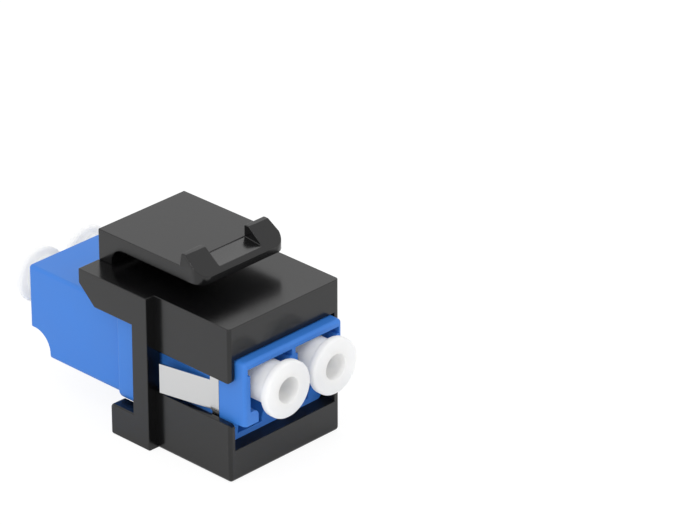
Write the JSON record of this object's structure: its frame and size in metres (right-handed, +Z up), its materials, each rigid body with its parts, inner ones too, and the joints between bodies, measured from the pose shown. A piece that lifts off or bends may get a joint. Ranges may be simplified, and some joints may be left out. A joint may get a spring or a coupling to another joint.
{
  "type": "duplex fibre adapter in a snap-in panel holder",
  "caption": "Duplex fibre coupler in a black snap-in panel holder: a sprung latch arm on top, splayed metal side springs, and pull-out dust caps in each port.",
  "frame": {"origin": "on the surface the holder stands on, under the middle of the adapter's weld plane, which is the middle of the whole object", "axes": "+X across the two ports, -Y out of the panel side, +Y out of the back, +Z up through the latch arm"},
  "size_m": [0.0166, 0.0344, 0.0206],
  "materials": {
    "holder_plastic": "moulded ABS, polished",
    "adapter_plastic": "moulded PBT, satin",
    "sleeve_ceramic": "ground zirconia",
    "clip_steel": "cold-rolled spring strip",
    "cap_plastic": "moulded polyethylene"
  },
  "bodies": {
    "holder": {"holder": "holder_plastic", "adapter_front_housing": "adapter_plastic", "adapter_rear_housing": "adapter_plastic", "sleeve_holder_front": "adapter_plastic", "sleeve_holder_rear": "adapter_plastic", "split_sleeve_left": "sleeve_ceramic", "split_sleeve_right": "sleeve_ceramic", "spring_clip": "clip_steel"},
    "latch": {"latch_arm": "holder_plastic"},
    "cap_front_left": {"dust_cap_front_left": "cap_plastic"},
    "cap_front_right": {"dust_cap_front_right": "cap_plastic"},
    "cap_rear_left": {"dust_cap_rear_left": "cap_plastic"},
    "cap_rear_right": {"dust_cap_rear_right": "cap_plastic"}
  },
  "joints": [
    {"name": "latch_flex", "type": "hinge", "parent": "holder", "child": "latch", "pos_m": [0, 0.00467, 0.01622], "axis": [1, 0, 0], "range_deg": [0, 7], "stiffness_Nm_per_rad": 0.2},
    {"name": "cap_front_left_pull", "type": "slide", "parent": "holder", "child": "cap_front_left", "axis": [0, -1, 0], "range_m": [0, 0.014]},
    {"name": "cap_front_right_pull", "type": "slide", "parent": "holder", "child": "cap_front_right", "axis": [0, -1, 0], "range_m": [0, 0.014]},
    {"name": "cap_rear_left_pull", "type": "slide", "parent": "holder", "child": "cap_rear_left", "axis": [0, 1, 0], "range_m": [0, 0.014]},
    {"name": "cap_rear_right_pull", "type": "slide", "parent": "holder", "child": "cap_rear_right", "axis": [0, 1, 0], "range_m": [0, 0.014]}
  ]
}
